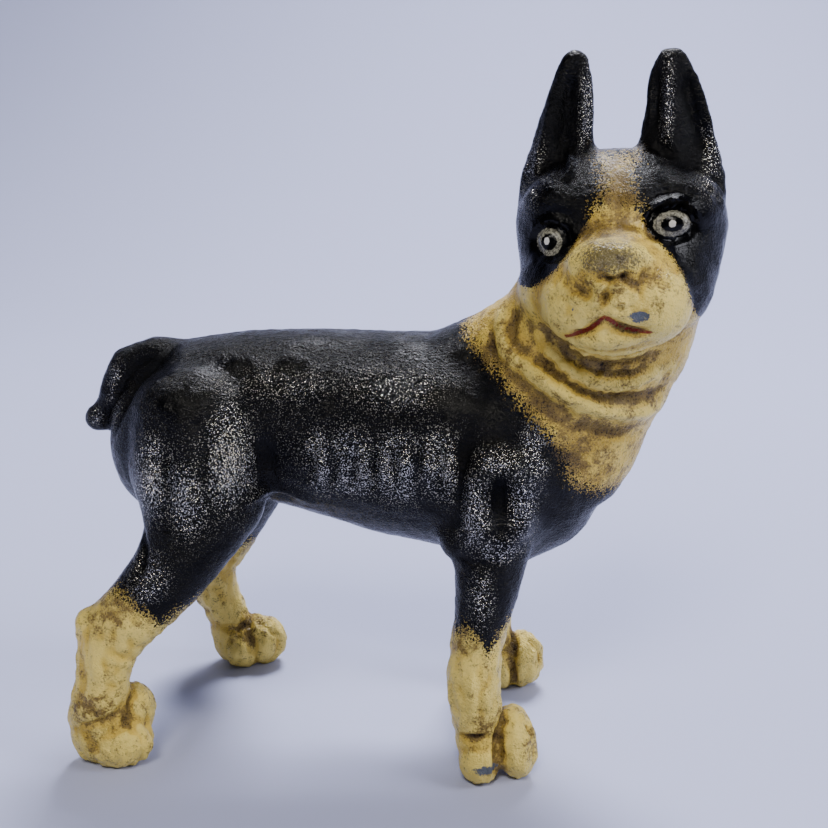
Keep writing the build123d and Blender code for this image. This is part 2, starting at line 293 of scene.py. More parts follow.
# %% [markdown]
# Sculpting is done in code. A stroke is a line drawn on the figure as it is seen square on, along
# Y for its sides and face, or along X for its front. Each vertex near the line moves out along its
# own normal, or in when the height is negative, most on the line itself and less with distance, as
# under a clay tool. Corners are cut twice, so that a line of few points still bends smoothly.

# %% The sculpting stroke
points = np.empty(len(skin.vertices) * 3)
skin.vertices.foreach_get("co", points)
points = points.reshape(-1, 3)
normals = np.empty_like(points)


def read_normals():
    """Takes the normals afresh from the skin as it stands."""
    skin.vertices.foreach_set("co", points.ravel())
    skin.update()
    found = np.empty(points.size)
    skin.vertex_normals.foreach_get("vector", found)
    normals[:] = found.reshape(-1, 3)


def rounded(corners):
    """A line with its inner corners cut off twice."""
    line = np.array(corners, float)
    for _ in range(2):
        cuts = np.stack([0.75 * line[:-1] + 0.25 * line[1:], 0.25 * line[:-1] + 0.75 * line[1:]], axis=1)
        line = np.vstack([line[:1], cuts.reshape(-1, line.shape[1])[1:-1], line[-1:]])
    return line


def from_line(places, line):
    """How far each place is from a line, and how far along it the nearest point is, from 0 to 1."""
    gap = np.full(len(places), np.inf)
    along = np.zeros(len(places))
    steps = np.diff(line, axis=0)
    for number, (start, step) in enumerate(zip(line, steps)):
        share = np.clip((places - start) @ step / (step @ step), 0, 1)
        distance = np.linalg.norm(places - start - share[:, None] * step, axis=1)
        nearer = distance < gap
        gap[nearer] = distance[nearer]
        along[nearer] = (number + share[nearer]) / len(steps)
    return gap, along


RIGHT, LEFT = -1, 1  # which way the worked side faces, along Y


def stroke(corners, width, height, side=RIGHT, seen="xz", within=(-99, 99), ends=5.0):
    """Raises the skin along a line, or presses it in, on the side that faces the sculptor."""
    axes = ["xyz".index(letter) for letter in seen]
    across = 3 - sum(axes)
    line = rounded(corners)
    flat = points[:, axes]
    reach = 2.6 * width
    near = ((flat > line.min(axis=0) - reach) & (flat < line.max(axis=0) + reach)).all(axis=1)
    near &= (points[:, across] > within[0]) & (points[:, across] < within[1])
    near &= normals[:, across] * side > 0.05
    moved = np.flatnonzero(near)
    gap, along = from_line(flat[moved], line)
    fade = np.clip(ends * np.minimum(along, 1 - along) + 0.15, 0, 1)
    turned = np.clip(2.5 * normals[moved, across] * side, 0, 1)
    points[moved] += normals[moved] * (height * np.exp(-(gap / width) ** 2) * fade * turned)[:, None]


def dab(centre, half_sizes, height, side=RIGHT, seen="xz", within=(-99, 99)):
    """Raises or presses a soft oval."""
    axes = ["xyz".index(letter) for letter in seen]
    across = 3 - sum(axes)
    spread = (((points[:, axes] - centre) / half_sizes) ** 2).sum(axis=1)
    chosen = (spread < 6) & (normals[:, across] * side > 0.05)
    chosen &= (points[:, across] > within[0]) & (points[:, across] < within[1])
    turned = np.clip(2.5 * normals[chosen, across] * side, 0, 1)
    points[chosen] += normals[chosen] * (height * np.exp(-spread[chosen]) * turned)[:, None]


read_normals()
print("ready to sculpt", len(points))

# %% [markdown]
# The body's modelling is shallow on such a casting: seven soft ribs, the muscle round the shoulder
# with an oval hollow in it, waves over the haunch, the fold of skin at the flank, and the sinew
# above the hock. Both sides get the same, because both halves come from one pattern.

# %% Body strokes
RIB_GROOVES = [-12.6, -8.4, -4.2, -0.1, 4.1, 8.4, 12.7, 16.6]
RIB_SPACING = 4.2
for side in (RIGHT, LEFT):
    for number, x in enumerate(RIB_GROOVES):
        lift = 0.28 * number
        top, low = 68.6 + lift - abs(number - 4) * 0.5, 57.6 + lift + (number - 3) ** 2 * 0.12
        stroke([(x - 0.3, top), (x + 0.3, (top + low) / 2), (x - 0.5, low)], 1.2, -0.6, side, ends=2.6)
        if number < 7:
            middle = x + RIB_SPACING / 2
            stroke([(middle - 0.3, top - 0.4), (middle + 0.3, 63 + lift), (middle - 0.4, low + 0.6)],
                   1.5, 0.85, side, ends=2.6)
    stroke([(19.5, 75), (17.6, 68), (17.2, 60), (16.2, 54), (13.6, 49)], 1.5, -1.0, side)
    stroke([(23.5, 68), (20.4, 64.6), (19.2, 58.4), (21.0, 53.0), (25.0, 49.8)], 2.0, 1.05, side)
    stroke([(23.5, 68), (27.4, 65.2), (29.8, 59), (28.8, 53.2), (25.0, 49.4)], 1.9, 1.35, side)
    dab((24.8, 59.2), (2.1, 3.9), -2.2, side)
    stroke([(24.6, 75), (29.4, 69.5), (32.4, 64), (33.6, 58)], 1.6, 0.9, side)
    stroke([(27.4, 66.4), (30.6, 62), (31.4, 56)], 0.9, -0.7, side)
    stroke([(15.5, 47.4), (20, 47.0), (25, 46.6)], 0.9, -0.5, side)
    stroke([(21.6, 47), (21.2, 41), (20.4, 35)], 1.4, 0.45, side)
    stroke([(13.4, 52.4), (15, 49), (15.4, 46)], 1.4, 0.5, side)
    # haunch
    for x, top, bottom in ((-39.4, 73, 50), (-31.8, 74, 54)):
        stroke([(x, top), (x - 1.4, (top + bottom) / 2), (x + 0.8, bottom)], 2.6, -0.9, side, ends=2.6)
    dab((-35.8, 62.0), (3.6, 8.0), 0.8, side)
    dab((-44.4, 60.0), (3.4, 7.0), 0.8, side)
    dab((-27.4, 64.0), (3.6, 8.0), 0.9, side)
    stroke([(-22.2, 72), (-21.2, 65), (-23.6, 58), (-27.0, 51)], 2.6, -0.8, side, ends=2.6)
    stroke([(-26.4, 54.6), (-22.6, 56.8), (-17.8, 55.8), (-13.6, 53.0)], 0.8, 0.55, side)
    stroke([(-24.6, 53.4), (-21.4, 54.6), (-17.6, 53.8)], 0.9, -0.45, side)
    # sinew above the hock
    stroke([(-49.4, 52), (-46.0, 48.4), (-44.2, 44.4), (-46.8, 40.0)], 1.1, -1.0, side)
    stroke([(-36.6, 48), (-38.6, 43), (-43.0, 37.6)], 1.6, 0.6, side)
    # tail against the rump
    stroke([(-45.0, 81.6), (-50.6, 76.8), (-53.8, 71), (-56.6, 64.6)], 0.9, -1.1, side)
    stroke([(-47.4, 82.0), (-52.4, 79.6), (-55.6, 75.4), (-57.6, 70.0)], 0.8, -0.7, side)
    stroke([(-58.6, 70.4), (-60.4, 67.8), (-60.6, 64.4)], 0.6, -0.9, side)
read_normals()
print("body strokes done")

# %% [markdown]
# The throat is creased by the turn of the head. Three rolls of skin hang from cheek to cheek, each
# with a groove beside it, and the lowest is the strongest. Fine creases run between them, and the
# far side gets a plainer set, so that the rolls go on round the neck.

# %% Throat folds
THROAT = (-22.5, 0)
stroke([(34.0, 90.2), (38.5, 87.7), (43.4, 86.4), (48.5, 87.0), (52.4, 89.0)], 1.1, 1.1, within=THROAT)
stroke([(33.6, 88.2), (38.4, 85.8), (43.6, 84.6), (49.0, 85.2), (53.4, 87.2)], 0.8, -0.9, within=THROAT)
stroke([(28.4, 88.2), (34.2, 85.2), (38.5, 82.4), (42.2, 81.0), (46.4, 80.6), (50.4, 81.6), (55.4, 84.4)],
       1.0, 1.0, within=THROAT)
stroke([(31.2, 88.6), (35.8, 86.2), (39.6, 84.0), (43.6, 82.9), (48.0, 82.9), (52.6, 84.8)],
       0.7, -0.9, within=THROAT)
stroke([(24.6, 86.6), (30.2, 82.8), (36.2, 79.0), (43.6, 75.6), (51.0, 74.4), (57.0, 76.6)],
       1.5, 1.7, within=THROAT)
stroke([(27.2, 87.0), (31.0, 84.7), (34.6, 82.0), (38.0, 79.7), (43.0, 78.0), (48.6, 77.6), (55.0, 79.4)],
       0.9, -1.2, within=THROAT)
stroke([(26.0, 80.6), (31.6, 76.4), (38.0, 72.4), (45.0, 69.8), (52.0, 70.2)], 1.8, -0.8, within=THROAT)
stroke([(24.4, 95.0), (23.0, 91.0), (23.6, 87.0), (26.6, 83.0)], 1.2, 0.8, within=THROAT)
stroke([(26.4, 94.4), (25.4, 90.6), (26.2, 87.0)], 0.9, -0.7, within=THROAT)
for corners, height in (
    ([(22.6, 84.8), (27.4, 81.4), (33.0, 77.4), (40.0, 73.6)], -0.6),
    ([(30.8, 92.4), (33.4, 89.8), (37.0, 87.6)], -0.6),
    ([(29.6, 90.6), (32.8, 87.9), (37.6, 85.0)], 0.6),
    ([(27.4, 90.2), (30.4, 86.8), (34.8, 83.8), (39.8, 81.0)], -0.6),
    ([(38.0, 77.6), (44.0, 76.2), (51.0, 76.0)], -0.5),
    ([(21.6, 90.4), (21.4, 87.2), (23.4, 83.6)], -0.5),
    ([(36.0, 72.6), (42.0, 70.0), (48.0, 68.8)], 0.4),
):
    stroke(corners, 0.65, height, within=THROAT)
for corners, width, height in (
    ([(24.6, 86.6), (31.0, 82.8), (38.0, 79.0), (46.0, 76.0), (55.0, 75.2)], 1.7, 1.5),
    ([(26.6, 88.6), (33.0, 84.8), (40.0, 81.0), (48.0, 78.4), (56.0, 78.6)], 1.1, -0.8),
    ([(27.6, 92.0), (34.0, 88.2), (41.0, 84.6), (49.0, 82.6), (57.0, 83.6)], 1.4, 0.9),
):
    stroke(corners, width, height, LEFT)
read_normals()
print("throat done")

# %% [markdown]
# The face carries the look of the whole bank. The nose is a low pad with wrinkles under it, the
# mouth is two curved cuts that meet below a notch, and each eye sits in a pressed ring under a
# raised lid. The strokes stay on the muzzle by a limit on how far back they reach.

# %% Face strokes
MUZZLE = (-40, -20)
EYE_BAND = (-26, -6)
dab((43.2, 106.2), (4.6, 2.6), 0.7, within=MUZZLE)
stroke([(38.4, 103.6), (41.0, 102.6), (43.4, 102.3), (46.4, 103.0), (48.4, 104.4)], 0.6, -0.55, within=MUZZLE)
stroke([(39.6, 101.6), (42.0, 101.1), (44.6, 101.1)], 0.7, 0.5, within=MUZZLE)
stroke([(36.6, 101.0), (38.6, 99.8), (40.8, 98.8)], 0.9, -0.6, within=MUZZLE)
stroke([(46.2, 100.6), (48.2, 102.2), (49.6, 104.2)], 0.8, -0.45, within=MUZZLE)
stroke([(42.7, 100.4), (42.6, 98.2), (42.6, 96.0)], 0.7, -0.6, within=MUZZLE)
LIPS = [
    [(42.5, 95.9), (41.4, 94.2), (39.2, 92.7), (36.2, 91.4)],
    [(42.7, 95.9), (44.8, 94.2), (47.2, 93.3), (50.6, 93.0)],
]
for lip in LIPS:
    stroke(lip, 0.7, -1.1, within=MUZZLE, ends=9)
    stroke([(x, z + 1.7) for x, z in lip], 0.9, 0.45, within=MUZZLE)
dab((43.4, 91.4), (4.8, 1.7), 0.9, within=MUZZLE)
stroke([(36.8, 89.8), (40.2, 88.9), (44.0, 88.7), (48.0, 89.5), (50.6, 91.0)], 0.8, -0.8, within=MUZZLE)
# the wrinkled skin between nose and lip
wrinkled = np.exp(-(((points[:, [0, 2]] - (43.6, 99.8)) / (8.0, 4.6)) ** 2).sum(axis=1))
wrinkled = wrinkled * (points[:, 1] < -24)
for number in np.flatnonzero(wrinkled > 0.02):
    crumple = noise.noise(Vector(points[number]) / 1.5) + 0.5 * noise.noise(Vector(points[number]) / 0.8)
    points[number] += normals[number] * 1.1 * wrinkled[number] * crumple
for (x, y, z, half_x, half_y, half_z) in EYEBALLS:
    around = [(x + 1.2 * half_x * math.cos(turn), z + 1.26 * half_z * math.sin(turn))
              for turn in np.radians(range(-10, 361, 30))]
    stroke(around, 0.65, -0.85, within=EYE_BAND, ends=99)
stroke([(48.4, 110.4), (49.6, 112.9), (52.2, 114.3), (55.4, 114.3), (58.0, 112.6), (59.4, 110.2)],
       0.7, 1.0, within=EYE_BAND)
stroke([(48.6, 114.4), (51.6, 116.2), (56.0, 116.2), (59.6, 114.2)], 0.6, -0.55, within=EYE_BAND)
stroke([(50.2, 107.6), (53.0, 106.7), (56.6, 107.4)], 0.7, 0.65, within=EYE_BAND)
stroke([(49.4, 104.6), (53.0, 103.0), (57.6, 104.4)], 0.8, -0.4, within=EYE_BAND)
stroke([(28.9, 107.2), (30.0, 109.4), (32.6, 110.7), (35.4, 109.8)], 0.65, 0.85, within=EYE_BAND)
stroke([(28.6, 110.8), (32.0, 112.6), (36.4, 111.6)], 0.6, -0.45, within=EYE_BAND)
stroke([(30.2, 104.2), (32.6, 103.6), (34.9, 104.4)], 0.6, 0.5, within=EYE_BAND)
stroke([(44.4, 121), (44.4, 116), (44.2, 111.6)], 1.4, -0.5, within=(-30, 5))
dab((57.0, 117.0), (3.4, 2.6), 0.5, within=(-30, 5))
read_normals()
print("face done")

# %% [markdown]
# Each ear is a leaf of metal, dished in front. One has a rib up its middle with a narrow channel
# beside it, and the other a scoop between its rib and a thin outer rim. The scoop stays shallow,
# because the leaf is only a few millimetres thick and a deeper stroke would go through it.

# %% Ear strokes
EAR_FRONT = (-14, 3)
stroke([(34.9, 137.4), (34.3, 131.4), (33.8, 126.0), (33.4, 120.6)], 1.2, -1.3, within=EAR_FRONT)
stroke([(36.4, 138.4), (36.7, 131.6), (37.0, 126.0), (36.2, 120.4), (34.0, 117.4)], 0.8, 1.2,
       within=EAR_FRONT)
stroke([(31.6, 133.0), (30.6, 127.0), (29.4, 121.0), (28.2, 116.0)], 0.9, 0.8, within=EAR_FRONT)
stroke([(33.4, 123.0), (35.4, 121.6), (36.2, 119.4), (34.4, 117.6)], 0.6, 0.9, within=EAR_FRONT)
stroke([(27.4, 118.0), (29.4, 115.4), (33.0, 114.6), (37.6, 116.0)], 0.8, -0.6, within=EAR_FRONT)
stroke([(54.6, 139.2), (56.2, 134.2), (57.8, 129.2), (59.4, 124.4), (60.4, 120.6)], 1.5, -1.5,
       within=EAR_FRONT)
dab((58.2, 123.4), (2.3, 3.6), -0.5, within=EAR_FRONT)
stroke([(52.3, 139.2), (52.7, 133.6), (52.6, 128.4), (53.4, 124.2), (56.4, 120.6)], 0.9, 1.5,
       within=EAR_FRONT)
stroke([(55.6, 139.6), (57.8, 134.4), (59.6, 129.4), (61.4, 124.0)], 0.7, 0.9, within=EAR_FRONT)
stroke([(50.4, 137.6), (50.5, 131.6), (50.0, 125.6)], 0.9, -0.9, within=EAR_FRONT)
stroke([(49.2, 124.4), (52.4, 122.2), (57.0, 119.6), (61.0, 116.4), (62.6, 113.2)], 0.7, -0.9,
       within=EAR_FRONT)
stroke([(61.6, 118.8), (62.6, 116.4), (62.8, 114.0)], 0.8, -1.1, within=EAR_FRONT)
for corners in ([(34.9, 137), (34.2, 130), (33.2, 121)], [(53.6, 137), (54.8, 130), (56.0, 121)]):
    stroke(corners, 2.2, 0.6, LEFT, within=(-3, 14))
read_normals()
print("ears done")

# %% [markdown]
# Feet need a cleft between the toes that shows from the side and from the front, and a crease where
# the toes leave the leg. The front of each foot is worked along X, the way that the animal faces.

# %% Foot strokes
FRONT_FOOT_X = (24, 40)
for side in (RIGHT, LEFT):
    back = 0.0 if side == RIGHT else 1.3
    if side == RIGHT:
        stroke([(25.6, 14.2), (24.9, 9.6), (25.3, 5.0), (25.2, 0.0)], 0.7, -1.1, side)
    stroke([(16.8 - back, 9.6), (20.2 - back, 10.8), (24.4 - back, 10.6)], 0.9, -1.1, side)
    stroke([(17.7 - back, 27.0), (18.0 - back, 21.4), (19.1 - back, 14.6)], 0.5, -0.3, side)
    stroke([(21.5 - back, 29.0), (22.1 - back, 22.0), (21.7 - back, 15.0)], 0.5, -0.3, side)
    stroke([(19.9 - back, 28.6), (19.8 - back, 21.0), (20.4 - back, 15.0)], 0.7, 0.35, side)
    for y in (15.0, 18.8) if side == RIGHT else (21.6, 25.6):
        stroke([(side * y, 15.4), (side * y, 8.0), (side * y, 0.0)], 0.6, -0.7, 1, "yz", FRONT_FOOT_X)
stroke([(-59.4, 9.6), (-55.8, 10.8), (-52.0, 12.2), (-48.6, 14.6)], 1.0, -0.9)
stroke([(-54.6, 3.6), (-55.6, 7.0), (-58.6, 9.6)], 0.8, -0.5)
stroke([(-52.0, 28.0), (-48.0, 24.6), (-46.4, 22.8)], 0.45, -0.4)
stroke([(-57.6, 27.0), (-57.4, 20.4), (-58.4, 14.0)], 0.9, -0.4)
stroke([(-54.0, 26.6), (-53.6, 20.0), (-54.2, 14.8)], 0.9, 0.35)
for y in (-23.2, -26.8):
    stroke([(y, 11.0), (y, 5.0), (y, 0.0)], 0.7, -0.8, 1, "yz", (-52, -40))
for y in (23.4, 27.6):
    stroke([(y, 12.0), (y, 6.0), (y, 0.0)], 0.7, -0.8, 1, "yz", (-38, -28))
stroke([(-38.6, 12.6), (-37.8, 7.0), (-37.6, 0.0)], 0.8, -1.0, LEFT)
stroke([(-46.6, 14.6), (-42.4, 12.4), (-38.4, 12.8)], 0.9, -0.7, LEFT)
stroke([(-44.0, 10.4), (-40.6, 10.4), (-37.4, 11.8)], 1.0, -0.7, RIGHT, "xz", (14, 30))
stroke([(-38.8, 13.0), (-37.6, 8.0), (-37.2, 3.0)], 1.0, -0.6, RIGHT, "xz", (14, 30))
read_normals()
print("feet done")

# %% [markdown]
# Sand casting leaves low lumps on every face, about two millimetres wide and a tenth high. The feet
# and the throat are rougher, with smaller and taller crumples. The two halves of the pattern never
# meet quite true, so a fine line runs all round at the joint. All are moves of the skin itself, and
# only the finer grain of the sand is left to the material.

# %% Casting lumps and joint line
LUMP_MM = 2.2
LUMP_HEIGHT = 0.13
JOINT_DEPTH = 0.15
lumps = np.array([noise.noise(Vector(point) / LUMP_MM) + 0.6 * noise.noise(Vector(point) / LUMP_MM * 2.3)
                  for point in points])
crumpled = np.clip((36 - points[:, 2]) / 6, 0, 1)
crumpled = np.maximum(crumpled, np.exp(-(((points[:, [0, 2]] - (40, 84)) / (16, 12)) ** 2).sum(axis=1)))
stretch = np.where(points[:, 2] < 40, 3.0, 1.4)
for number in np.flatnonzero(crumpled > 0.05):
    x, y, z = points[number]
    lumps[number] += 3.6 * crumpled[number] * noise.noise(Vector((x / 1.25, y / 1.25, z / stretch[number])))
joint = np.exp(-(points[:, 1] / 0.5) ** 2)
points += normals * (LUMP_HEIGHT * lumps - JOINT_DEPTH * joint)[:, None]
read_normals()
print("lumps from", lumps.min().round(2), "to", lumps.max().round(2))

# %% [markdown]
# The finish paints shade into the low places and a highlight onto the crests, so it needs to know
# which those are. The skin's vertices are averaged with their neighbours many times over, and what
# is left between a vertex and its smoothed place, along its normal, is its relief: below nought in
# grooves.

# %% Relief of the skin
corners_of = np.empty(len(skin.edges) * 2, int)
skin.edges.foreach_get("vertices", corners_of)
one_end, other_end = corners_of.reshape(-1, 2).T
neighbours = np.bincount(corners_of, minlength=len(points))


def averaged(values):
    """Each vertex's value as the mean of its neighbours'."""
    total = np.bincount(one_end, values[other_end], len(points))
    total += np.bincount(other_end, values[one_end], len(points))
    return total / neighbours


soft = points.T.copy()
for _ in range(30):
    soft = np.array([averaged(axis) for axis in soft])
relief = ((points - soft.T) * normals).sum(axis=1)
for _ in range(2):
    relief = averaged(relief)
print("relief", relief.min().round(2), relief.max().round(2), "mm")

# %% Flat soles
standing = bmesh.new()
standing.from_mesh(skin)
bmesh.ops.bisect_plane(standing, geom=standing.verts[:] + standing.edges[:] + standing.faces[:],
                       plane_co=(0, 0, 0), plane_no=(0, 0, 1), clear_inner=True)
bmesh.ops.edgeloop_fill(standing, edges=[edge for edge in standing.edges if edge.is_boundary])
standing.to_mesh(skin)
print("soles cut", all(edge.is_manifold for edge in standing.edges))
standing.free()

# %% [markdown]
# The bank is hollow, and each half is a casting about 3 mm thick. The hollow is the same trunk,
# neck and head with every half size less by the wall. Booleans take it out of the figure, then
# the coin slot and the screw's holes, and leave standing the boss that the screw goes through and
# the lugs of the locating pins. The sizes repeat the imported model's, and the box of its screw says
# where the screw's axis is.

# %% Cutters and the hollow shell
WALL = 3.0
screw_low, screw_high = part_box("assembly_screw")
SCREW_AT = tuple(round((screw_low[axis] + screw_high[axis]) / 2 / MM, 1) for axis in (0, 2))
SEAT_Y = 18.5
SLOT = ((-23.0, -2.4, 30.0), (9.0, 2.4, 62.0))
PINS = [(-52.0, 66.0), (47.5, 73.0), (44.6, 118.0)]
BOSS_RADIUS = 5.5
RECESS_RADIUS = 5.5
PAD_RADIUS = 8.3
LUG_RADIUS = 4.3
TAPPED_RADIUS = 2.45
TAPPED_DEPTH = 15.05
CLEARANCE_RADIUS = 2.7
PIN_RADIUS = 1.8
PIN_LENGTH = 3.5
PIN_CLEARANCE = 0.3


def rod(x, z, radius, low_y, high_y, chamfer=0.0, sides=48):
    """A closed round rod along Y, as a mesh."""
    form = bmesh.new()
    place = Matrix.Translation((x, (low_y + high_y) / 2, z)) @ Matrix.Rotation(math.pi / 2, 4, "X")
    bmesh.ops.create_cone(form, cap_ends=True, segments=sides, radius1=radius, radius2=radius,
                          depth=high_y - low_y, matrix=place)
    if chamfer:
        rims = [edge for edge in form.edges if len(edge.link_faces[0].verts) != len(edge.link_faces[1].verts)]
        bmesh.ops.bevel(form, geom=rims, offset=chamfer, segments=2, profile=0.5, affect="EDGES", material=-1)
    mesh = bpy.data.meshes.new("rod")
    form.to_mesh(mesh)
    form.free()
    return mesh


def block(low, high):
    """A box between two corners, as a mesh."""
    form = bmesh.new()
    size = Vector(high) - Vector(low)
    bmesh.ops.create_cube(form, size=1, matrix=Matrix.Translation((Vector(low) + Vector(high)) / 2)
                          @ Matrix.Diagonal((*size, 1)))
    mesh = bpy.data.meshes.new("block")
    form.to_mesh(mesh)
    form.free()
    return mesh


def joined(mesh, tool, operation):
    """A mesh after a Boolean with another."""
    cutter = bpy.data.objects.new("cutter", tool)
    bpy.context.scene.collection.objects.link(cutter)
    result = worked(mesh, "BOOLEAN", operation=operation, solver="MANIFOLD", object=cutter)
    bpy.data.objects.remove(cutter)
    return result


hollow = bmesh.new()
hollow_masses(hollow, WALL)
core = skin_of(hollow, "core", 1.3, 4)
core = joined(core, rod(*SCREW_AT, BOSS_RADIUS, -40, 40), "DIFFERENCE")
core = joined(core, rod(*SCREW_AT, PAD_RADIUS, SEAT_Y - WALL, 40), "DIFFERENCE")
for x, z in PINS:
    core = joined(core, rod(x, z, LUG_RADIUS, -6, 6), "DIFFERENCE")
shell = joined(skin, core, "DIFFERENCE")
shell = joined(shell, block(*SLOT), "DIFFERENCE")
print("screw at", SCREW_AT, "shell", len(shell.vertices))

# %% The two castings
FAR = 90
right_mesh = joined(shell, block((-FAR, -FAR, -FAR), (FAR, 0, 2 * FAR)), "INTERSECT")
right_mesh = joined(right_mesh, rod(*SCREW_AT, TAPPED_RADIUS, -TAPPED_DEPTH, 5), "DIFFERENCE")
left_mesh = joined(shell, block((-FAR, 0, -FAR), (FAR, FAR, 2 * FAR)), "INTERSECT")
left_mesh = joined(left_mesh, rod(*SCREW_AT, CLEARANCE_RADIUS, -5, 40), "DIFFERENCE")
left_mesh = joined(left_mesh, rod(*SCREW_AT, RECESS_RADIUS, SEAT_Y, 40), "DIFFERENCE")
for x, z in PINS:
    pin = rod(x, z, PIN_RADIUS, -PIN_LENGTH, PIN_LENGTH, 0.4, 32)
    socket = rod(x, z, PIN_RADIUS + PIN_CLEARANCE, -5, PIN_LENGTH + PIN_CLEARANCE, 0, 32)
    right_mesh = joined(right_mesh, pin, "UNION")
    left_mesh = joined(left_mesh, socket, "DIFFERENCE")
print("castings", len(right_mesh.vertices), len(left_mesh.vertices))

# %% [markdown]
# The screw is a slotted round-head machine screw, number 10 with 24 threads to the inch. Its body
# is one profile spun round the Y axis. The thread is then pressed into the rings of vertices: how
# deep each goes depends on its place along the screw and its angle, which makes a true helix.

# %% The screw
THREAD_PITCH = 25.4 / 24
THREAD_DEPTH = 0.55
THREAD_STARTS = 11.0  # how far below the head the thread begins
SCREW_LENGTH = 31.75
SHANK_RADIUS = 2.38
HEAD_RADIUS = 4.6
HEAD_HEIGHT = 3.2
TURN_STEPS = 48
RING_GAP = THREAD_PITCH / 8

tip_y = SEAT_Y - SCREW_LENGTH
profile = [(0, tip_y), (SHANK_RADIUS - 0.7, tip_y), (SHANK_RADIUS - 0.1, tip_y + 0.6)]
rings = int((SCREW_LENGTH - 1.2) / RING_GAP)
profile += [(SHANK_RADIUS, tip_y + 0.9 + ring * RING_GAP) for ring in range(rings)]
profile += [(SHANK_RADIUS + 0.15, SEAT_Y), (HEAD_RADIUS - 0.2, SEAT_Y), (HEAD_RADIUS, SEAT_Y + 0.25)]
for angle in np.radians(range(8, 90, 10)):
    dome_y = SEAT_Y + 0.5 + (HEAD_HEIGHT - 0.5) * math.sin(angle)
    profile.append((HEAD_RADIUS * math.cos(angle) ** 0.75, dome_y))
profile.append((0, SEAT_Y + HEAD_HEIGHT))

turned = bmesh.new()
ring = [turned.verts.new((radius, y, 0)) for radius, y in profile]
outline = [turned.edges.new(pair) for pair in zip(ring, ring[1:])]
bmesh.ops.spin(turned, geom=ring + outline, axis=(0, 1, 0), cent=(0, 0, 0), angle=math.tau,
               steps=TURN_STEPS, use_merge=True)
bmesh.ops.remove_doubles(turned, verts=turned.verts, dist=0.001)
for vertex in turned.verts:
    radius = math.hypot(vertex.co.x, vertex.co.z)
    below = SEAT_Y - vertex.co.y
    if below < THREAD_STARTS or radius < SHANK_RADIUS - 0.2 or below > SCREW_LENGTH - 0.5:
        continue
    turn = below / THREAD_PITCH - math.atan2(vertex.co.z, vertex.co.x) / math.tau
    groove = max(0.0, 1 - abs(turn % 1 - 0.5) / 0.42)
    fade = min(1.0, (below - THREAD_STARTS) / 1.5)
    vertex.co.x *= 1 - THREAD_DEPTH * groove * fade / radius
    vertex.co.z *= 1 - THREAD_DEPTH * groove * fade / radius
bmesh.ops.recalc_face_normals(turned, faces=turned.faces)
bmesh.ops.translate(turned, verts=turned.verts, vec=(SCREW_AT[0], 0, SCREW_AT[1]))
screw_mesh = bpy.data.meshes.new("screw")
turned.to_mesh(screw_mesh)
turned.free()
driver_slot = block((SCREW_AT[0] - 6, SEAT_Y + HEAD_HEIGHT - 1.6, SCREW_AT[1] - 0.6),
                    (SCREW_AT[0] + 6, SEAT_Y + HEAD_HEIGHT + 2, SCREW_AT[1] + 0.6))
screw_mesh = joined(screw_mesh, driver_slot, "DIFFERENCE")
print("screw", len(screw_mesh.vertices), "vertices")

# %% [markdown]
# The colours were brushed on over black, with soft edges, so each one is a field and not a face
# selection. A field is a number on every vertex: how many millimetres inside the colour it lies,
# below nought outside. The material then cuts the field where it likes, with noise, and the edge
# stays crisp at any distance. Most borders are outlines seen square on from the side.

# %% Paint fields
def inside(places, corners):
    """Distance inside a closed outline, below nought outside it."""
    line = rounded([*corners, corners[0]])
    gap, _ = from_line(places, line)
    odd = np.zeros(len(places), bool)
    for (x1, z1), (x2, z2) in zip(line, line[1:]):
        if z1 == z2:
            continue
        crosses = (places[:, 1] < z1) != (places[:, 1] < z2)
        odd ^= crosses & (places[:, 0] < x1 + (places[:, 1] - z1) / (z2 - z1) * (x2 - x1))
    return np.where(odd, gap, -gap)


BIB_EDGE = [(14, 92), (16.6, 88.4), (19.5, 84.2), (23.7, 81.6), (27.7, 77.6), (31.5, 73.1), (35.3, 67.9),
            (36.9, 63.8), (38.7, 59.8), (43.1, 58.2), (49, 58.6), (80, 60), (80, 150), (0, 150)]
RIGHT_MASK = [(5, 150), (5, 100), (24, 99.4), (27.0, 98.8), (29.4, 98.8), (31.6, 100.2), (33.9, 102.8),
              (36.4, 106.0), (38.0, 108.6), (39.3, 111.9), (40.9, 114.5), (41.3, 118), (41.0, 122),
              (40.4, 150)]
LEFT_MASK = [(47.6, 150), (47.2, 122), (46.6, 118.6), (47.0, 115.4), (48.2, 112.5), (49.8, 109.0),
             (52.8, 106.4), (55.1, 103.6), (56.5, 100.4), (57.8, 96.6), (59.2, 93.6), (61, 92.4),
             (80, 92), (80, 150)]
FRONT_SOCK = ([14, 16.3, 19.5, 21.5, 22.9, 24.6, 26.5, 30], [32.4, 32.9, 33.5, 32.0, 29.0, 31.6, 34.6, 35.0])
RIGHT_HIND_SOCK = ([-62, -50.4, -46.5, -42.4, -40.6, -38.3, -34], [39.0, 38.6, 37.6, 34.4, 32.4, 34.0, 36.5])
LEFT_HIND_SOCK = ([-56, -42, -34], [30.0, 31.5, 33.5])
BLACK_EARS_FROM = 122.2


